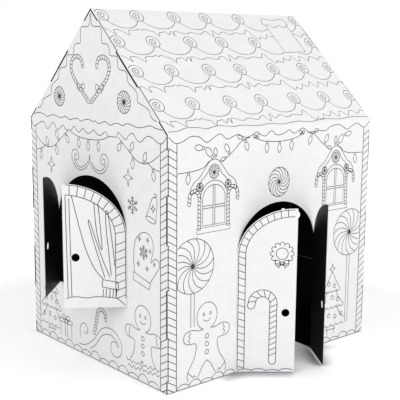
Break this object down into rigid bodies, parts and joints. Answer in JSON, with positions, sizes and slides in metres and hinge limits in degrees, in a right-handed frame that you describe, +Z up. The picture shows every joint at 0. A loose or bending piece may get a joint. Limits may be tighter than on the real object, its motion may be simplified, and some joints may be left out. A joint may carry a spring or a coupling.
{
  "type": "cardboard playhouse",
  "caption": "Child-size playhouse of folded corrugated card with a pitched roof, an arched double door and arched shutters.",
  "frame": {"origin": "on the ground, in the middle of the room that the house takes with its door leaves and shutters open as modelled", "axes": "+Z up; the door wall faces -Y; the gable end with the open shutters faces -X"},
  "size_m": [1.143, 0.964, 1.2189],
  "materials": {
    "printed_card": "matte"
  },
  "bodies": {
    "house": {"wrap_sheet": "printed_card", "left_gable_end": "printed_card", "right_gable_end": "printed_card"},
    "left_door": {"left_door_leaf": "printed_card"},
    "right_door": {"right_door_leaf": "printed_card"},
    "left_front_shutter": {"left_front_shutter": "printed_card"},
    "left_back_shutter": {"left_back_shutter": "printed_card"},
    "right_front_shutter": {"right_front_shutter": "printed_card"},
    "right_back_shutter": {"right_back_shutter": "printed_card"}
  },
  "joints": [
    {"name": "left_door_hinge", "type": "hinge", "parent": "house", "child": "left_door", "pos_m": [-0.10598, -0.33301, 0.207], "axis": [0, 0, -1], "range_deg": [-40, 130]},
    {"name": "right_door_hinge", "type": "hinge", "parent": "house", "child": "right_door", "pos_m": [0.27402, -0.33301, 0.207], "axis": [0, 0, 1], "range_deg": [-56, 114]},
    {"name": "left_front_shutter_hinge", "type": "hinge", "parent": "house", "child": "left_front_shutter", "pos_m": [-0.40348, -0.11851, 0.3635], "axis": [0, 0, 1], "range_deg": [-54, 116]},
    {"name": "left_back_shutter_hinge", "type": "hinge", "parent": "house", "child": "left_back_shutter", "pos_m": [-0.40348, 0.29749, 0.3635], "axis": [0, 0, -1], "range_deg": [-46, 124]},
    {"name": "right_front_shutter_hinge", "type": "hinge", "parent": "house", "child": "right_front_shutter", "pos_m": [0.57152, -0.14851, 0.3635], "axis": [0, 0, -1], "range_deg": [0, 170]},
    {"name": "right_back_shutter_hinge", "type": "hinge", "parent": "house", "child": "right_back_shutter", "pos_m": [0.57152, 0.26749, 0.3635], "axis": [0, 0, 1], "range_deg": [0, 170]}
  ]
}
